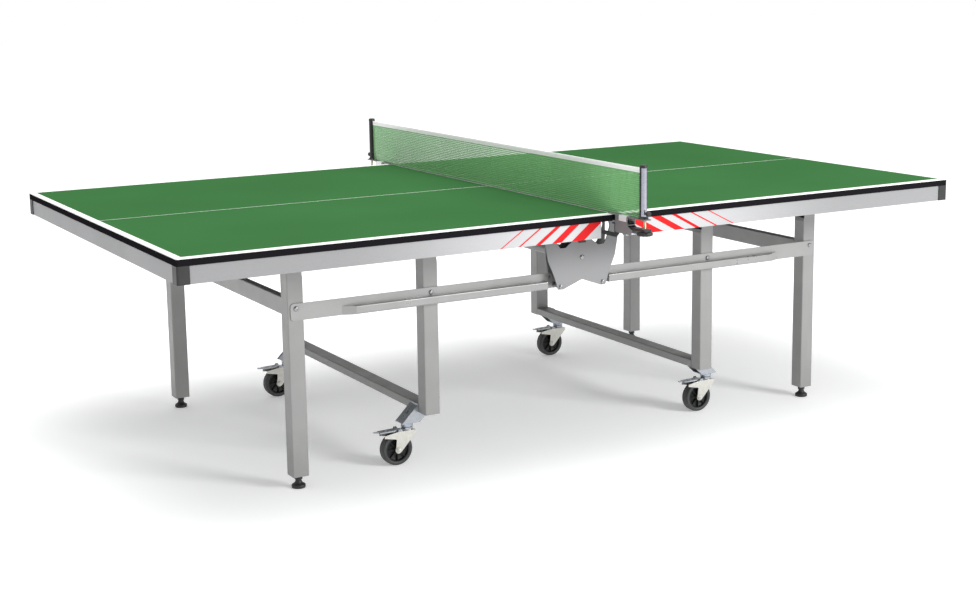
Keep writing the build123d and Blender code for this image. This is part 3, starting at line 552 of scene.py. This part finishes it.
# ---------------------------------------------------------------- net posts, knobs and screws
POST_RADIUS = 11 * MM
POST_TUBE = 10.2
SLEEVE_INNER = 10.5
SLEEVE_OUTER = 11.6
SLEEVE_HALF_ANGLE = 100
CAP_DEPTH = 9
COLLAR_HEIGHT = 7
THREAD_PITCH = 1.6
THREAD_DEPTH = 0.35
TENSION_KNOB = [
    (0, -8), (3.7, -8), (3.7, 7.6), (5.4, 8), (7.6, 9),
    (8, 11), (8, 18), (7.2, 19.4), (5, 19.9), (0, 19.9),
]
post_y = post_high.y - POST_RADIUS
post_base = post_low.z / MM
post_top = post_high.z / MM


def post_sleeve(side):
    """The black sleeve of the net, wrapped round the side of the post that faces the net."""
    bm = bmesh.new()
    steps = 28
    angles = [math.radians(-SLEEVE_HALF_ANGLE + 2 * SLEEVE_HALF_ANGLE * k / steps) for k in range(steps + 1)]
    outline = [(SLEEVE_OUTER, angle) for angle in angles]
    outline += [(SLEEVE_INNER, angle) for angle in reversed(angles)]
    low = post_base + COLLAR_HEIGHT
    high = post_top - CAP_DEPTH
    rings = []
    for z in (low, low + 1, high - 1, high):
        ring = []
        for reach, angle in outline:
            x = reach * math.sin(angle) * MM
            y = side * (post_y - reach * math.cos(angle) * MM)
            ring.append(bm.verts.new((x, y, z * MM)))
        rings.append(ring)
    for lower, upper in zip(rings, rings[1:]):
        bridge(bm, lower, upper)
    bm.faces.new(list(reversed(rings[0])))
    bm.faces.new(rings[-1])
    return mesh_from(bm, "sleeve")


def thread(low, high, radius):
    """A threaded rod's profile: a groove at each turn."""
    turns = round((high - low) / THREAD_PITCH)
    points = [(0, low)]
    for turn in range(turns):
        z = low + (high - low) * turn / turns
        points += [(radius, z), (radius - THREAD_DEPTH, z + THREAD_PITCH / 2)]
    return points + [(radius, high), (0, high)]


for end, side in SIDES.items():
    axis = upright(0, side * post_y)
    tube_profile = [(0, post_base), (POST_TUBE, post_base), (POST_TUBE, post_top - 5), (0, post_top - 5)]
    cap_profile = [
        (0, post_top - CAP_DEPTH), (11.8, post_top - CAP_DEPTH), (11.8, post_top - 3), (10.4, post_top - 0.8),
        (7.5, post_top), (0, post_top),
    ]
    collar_profile = [
        (0, post_base), (15, post_base), (15, post_base + 3), (13.5, post_base + 4.5),
        (12.6, post_base + COLLAR_HEIGHT), (0, post_base + COLLAR_HEIGHT),
    ]
    post = turned(f"net_post_tube_{end}", "centre_frame", "bright", axis, tube_profile)
    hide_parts("net_posts")
    caps = turned(f"net_post_cap_{end}", "centre_frame", "plastic", axis, cap_profile, collar_profile)
    sleeve = add_piece(f"net_post_sleeve_{end}", post_sleeve(side), "centre_frame", "plastic")

    screw_low, screw_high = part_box(f"clamp_screw_{end}")
    screw_y = (screw_low.y + screw_high.y) / 2
    knob_low = screw_low.z / MM
    knob_profile = [
        (0, knob_low), (13, knob_low), (20, knob_low + 0.6), (23.4, knob_low + 2.6), (24, knob_low + 5),
        (24, knob_low + 8), (22.8, knob_low + 10.6), (19, knob_low + 11.8), (10, knob_low + 12),
        (7.5, knob_low + 14), (0, knob_low + 14),
    ]
    knob = turned(f"clamp_knob_{end}", f"screw_{end}", "plastic", upright(0, screw_y), knob_profile,
                  segments=96, lobes=12, lobe_depth=1.3)
    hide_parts(f"clamp_screw_{end}")
    rod = turned(f"clamp_rod_{end}", f"screw_{end}", "brass", upright(0, screw_y),
                 thread(knob_low + 13, screw_high.z / MM, 4), segments=20)

    tension_low, tension_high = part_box(f"tension_screw_{end}")
    tension_z = (tension_low.z + tension_high.z) / 2
    tension_knob = turned(
        f"tension_knob_{end}", f"tension_{end}", "plastic",
        outward((0, side * post_high.y, tension_z), side), TENSION_KNOB,
        segments=48, lobes=8, lobe_depth=0.8,
    )
    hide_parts(f"tension_screw_{end}")


# ---------------------------------------------------------------- bolt heads
BOLT_HEAD = [
    (0, -1), (7.6, -1), (7.6, 0.9), (7.0, 2.5), (5.6, 3.9), (3.6, 4.6),
    (2.5, 4.6, "hex"), (2.5, 1.8, "hex"), (0, 1.8),
]
PIN_HEAD_RADIUS = 6 * MM
PIN_HEAD_HEIGHT = 3 * MM
LOW_BOLT_X = 78 * MM


def bolt_heads(name, body, places):
    """Domed heads with a hexagon socket, over the plain heads of a body's bolts."""
    bm = bmesh.new()
    for place, side in places:
        lathe(bm, BOLT_HEAD, outward(place, side), segments=24)
    heads = add_piece(name, mesh_from(bm, name, 30), body, "bolt")


for hand in ENDS:
    bolts_low, bolts_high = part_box(f"bar_bolts_{hand}")
    level = (bolts_low.z + bolts_high.z) / 2
    bar_face = bolts_high.y - PIN_HEAD_HEIGHT
    bolt_heads(f"bar_bolt_heads_{hand}", f"bars_{hand}", [
        ((x, side * bar_face, level), side)
        for x in (bolts_low.x + PIN_HEAD_RADIUS, bolts_high.x - PIN_HEAD_RADIUS) for side in (-1, 1)
    ])

plate_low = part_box("centre_plate_near")[0]
bolts_low, bolts_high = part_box("centre_bolts")
tube_low, tube_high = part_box("centre_tube")
tube_level = (tube_low.z + tube_high.z) / 2
low_bolt_z = bolts_low.z + PIN_HEAD_RADIUS
bolt_heads("centre_bolt_heads", "centre_frame", [
    ((x, side * -plate_low.y, z), side)
    for x, z in ((0, tube_level), (-LOW_BOLT_X, low_bolt_z), (LOW_BOLT_X, low_bolt_z)) for side in (-1, 1)
])


# ---------------------------------------------------------------- casters
TYRE = [
    (38, -14), (41, -15.2), (44, -16), (47.4, -15.2), (49.4, -12.6), (50, -9),
    (50, -5.4), (49.3, -4.8), (50, -4.2), (50, 4.2), (49.3, 4.8), (50, 5.4),
    (50, 9), (49.4, 12.6), (47.4, 15.2), (44, 16), (41, 15.2), (38, 14),
]
HUB = [
    (6.3, -15.5), (10.8, -15.5), (11.6, -14.6), (12.4, -6), (30.5, -4.5), (33.6, -6.5),
    (35, -13.6), (36, -14.8), (38.2, -14.8), (38.2, 14.8), (36, 14.8), (35, 13.6),
    (33.6, 6.5), (30.5, 4.5), (12.4, 6), (11.6, 14.6), (10.8, 15.5), (6.3, 15.5),
]
RIB_COUNT = 8
RIB_THICKNESS = 2.2
RIB_RISE = 12.5
RIB_START = 11
RIB_STOP = 34.5
NUT_INSET = 2 * MM


def hub_ribs(bm, matrix):
    """Thin radial walls from the boss to the rim."""
    for step in range(RIB_COUNT):
        turn = Matrix.Rotation(2 * math.pi * step / RIB_COUNT, 4, "Z")
        corners = []
        for z in (-RIB_RISE, RIB_RISE):
            for x, y in ((RIB_START, -0.5), (RIB_STOP, -0.5), (RIB_STOP, 0.5), (RIB_START, 0.5)):
                corners.append(bm.verts.new(matrix @ turn @ (Vector((x, y * RIB_THICKNESS, z)) * MM)))
        for face in ((3, 2, 1, 0), (4, 5, 6, 7), (0, 1, 5, 4), (1, 2, 6, 5), (2, 3, 7, 6), (3, 0, 4, 7)):
            bm.faces.new([corners[k] for k in face])


AXLE_NUT = [
    (0, -1), (7.5, -1, "hex"), (7.5, 4.2, "hex"), (6.9, 5, "hex"), (4.6, 5), (4.2, 7.2), (3.4, 7.8), (0, 7.8),
]

for hand in ENDS:
    for end in SIDES:
        spot = f"{end}_{hand}"
        low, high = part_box(f"caster_wheel_{spot}")
        middle = (low + high) / 2
        axis = outward(middle, -1)
        tyre = turned(f"tyre_{spot}", f"wheel_{spot}", "tyre", axis, TYRE, segments=72, ring=True)
        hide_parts(f"caster_wheel_{spot}")
        bm = bmesh.new()
        lathe(bm, HUB, axis, segments=64, ring=True)
        hub_ribs(bm, axis)
        hub = add_piece(f"wheel_hub_{spot}", mesh_from(bm, "hub"), f"wheel_{spot}", "hub")
        fork_low, fork_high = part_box(f"caster_fork_{spot}")
        bm = bmesh.new()
        for face_y, side in ((fork_low.y + NUT_INSET, -1), (fork_high.y - NUT_INSET, 1)):
            lathe(bm, AXLE_NUT, outward((middle.x, face_y, middle.z), side), segments=24)
        nuts = add_piece(f"axle_nuts_{spot}", mesh_from(bm, "nuts", 30), f"fork_{spot}", "zinc")


# ---------------------------------------------------------------- levelling feet
FOOT = [
    (0, 0), (18.6, 0), (20.6, 1), (21, 3), (20.4, 4.6), (21, 6), (20.8, 8.4),
    (19, 10.8), (15.4, 12.4), (12, 15.6), (9.8, 19.6), (9.2, 22), (9.2, 25),
    (10.4, 25.4, "hex"), (10.4, 31.4, "hex"), (9.2, 32), (9.2, 37.5),
    (5.8, 37.6), (5.8, 77), (0, 77),
]
for hand in ENDS:
    for end in SIDES:
        spot = f"{end}_{hand}"
        low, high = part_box(f"levelling_foot_{spot}")
        foot = turned(f"foot_pad_{spot}", f"foot_{spot}", "plastic",
                      upright((low.x + high.x) / 2, (low.y + high.y) / 2), FOOT, segments=48)
        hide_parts(f"levelling_foot_{spot}")


# ---------------------------------------------------------------- stage, light and camera
FLOOR_SIZE = 60
SHADOW_REACH = 1.3
FLOOR_GLOW = 0.25
WHITE_GLOW = 0.45


def stage_floor():
    """A light-coloured floor that glows: painted light, stronger away from the table, so its shadow fades
    into the white around it.
    """
    bpy.ops.mesh.primitive_plane_add(size=FLOOR_SIZE, location=(0, 0, 0))
    floor = bpy.context.object
    floor.name = "floor"
    g = Graph("floor_white")
    along = g.math("POWER", g.math("DIVIDE", g.x, half_length), 2)
    across = g.math("POWER", g.math("DIVIDE", g.y, half_width), 2)
    reach = g.math("SQRT", g.math("ADD", along, across))
    # Painted light: the glow lifts the shadow under the table and grows stronger further out.
    glow = g.ramp(reach, SHADOW_REACH, 2 * SHADOW_REACH, FLOOR_GLOW, WHITE_GLOW)
    floor.data.materials.append(
        g.finish((0.94, 0.945, 0.95, 1), 0.9, Emission_Color=(1, 1, 1, 1), Emission_Strength=glow)
    )
    floor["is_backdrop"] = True


WORLD_LIGHT = 0.64
LIGHT_TARGET = (0, 0, 0.5)
LIGHTS = {"key": ((3.0, -5.8, 3.2), 2.0, 260), "top": ((-0.3, 0.3, 5.0), 4.0, 175)}


def area_light(name, place, size, power):
    data = bpy.data.lights.new(name, "AREA")
    data.size = size
    data.energy = power
    light = bpy.data.objects.new(name, data)
    light.location = place
    light.rotation_euler = (Vector(LIGHT_TARGET) - Vector(place)).to_track_quat("-Z", "Y").to_euler()
    bpy.context.scene.collection.objects.link(light)


def studio():
    """A white backdrop, a softer white light from all sides, a low key light and a wide top light."""
    world = bpy.data.worlds.new("studio")
    world.use_nodes = True
    tree = world.node_tree
    background = tree.nodes["Background"]
    background.inputs["Color"].default_value = (1, 1, 1, 1)
    path = tree.nodes.new("ShaderNodeLightPath")
    strength = tree.nodes.new("ShaderNodeMapRange")
    strength.inputs["To Min"].default_value = WORLD_LIGHT
    strength.inputs["To Max"].default_value = 1.0
    tree.links.new(path.outputs["Is Camera Ray"], strength.inputs["Value"])
    tree.links.new(strength.outputs[0], background.inputs["Strength"])
    bpy.context.scene.world = world
    for name, (place, size, power) in LIGHTS.items():
        area_light(name, place, size, power)
    bpy.context.scene.view_settings.view_transform = "Standard"


CAMERA_PLACE = (-2.696, -4.758, 1.498)
CAMERA_YAW = 29.47
CAMERA_PITCH = 10.24
CAMERA_ROLL = -0.81
CAMERA_LENS = 59.55
CAMERA_SHIFT = -0.05
SENSOR_WIDTH = 36
CLIP_END = 200


def camera():
    data = bpy.data.cameras.new("camera")
    data.lens = CAMERA_LENS
    data.sensor_width = SENSOR_WIDTH
    data.shift_y = CAMERA_SHIFT
    data.clip_end = CLIP_END
    obj = bpy.data.objects.new("camera", data)
    obj.location = CAMERA_PLACE
    yaw = Matrix.Rotation(math.radians(-CAMERA_YAW), 4, "Z")
    pitch = Matrix.Rotation(math.radians(90 - CAMERA_PITCH), 4, "X")
    roll = Matrix.Rotation(math.radians(CAMERA_ROLL), 4, "Z")
    obj.rotation_euler = (yaw @ pitch @ roll).to_euler()
    bpy.context.scene.collection.objects.link(obj)
    bpy.context.scene.camera = obj


stage_floor()
studio()
camera()

low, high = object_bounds()
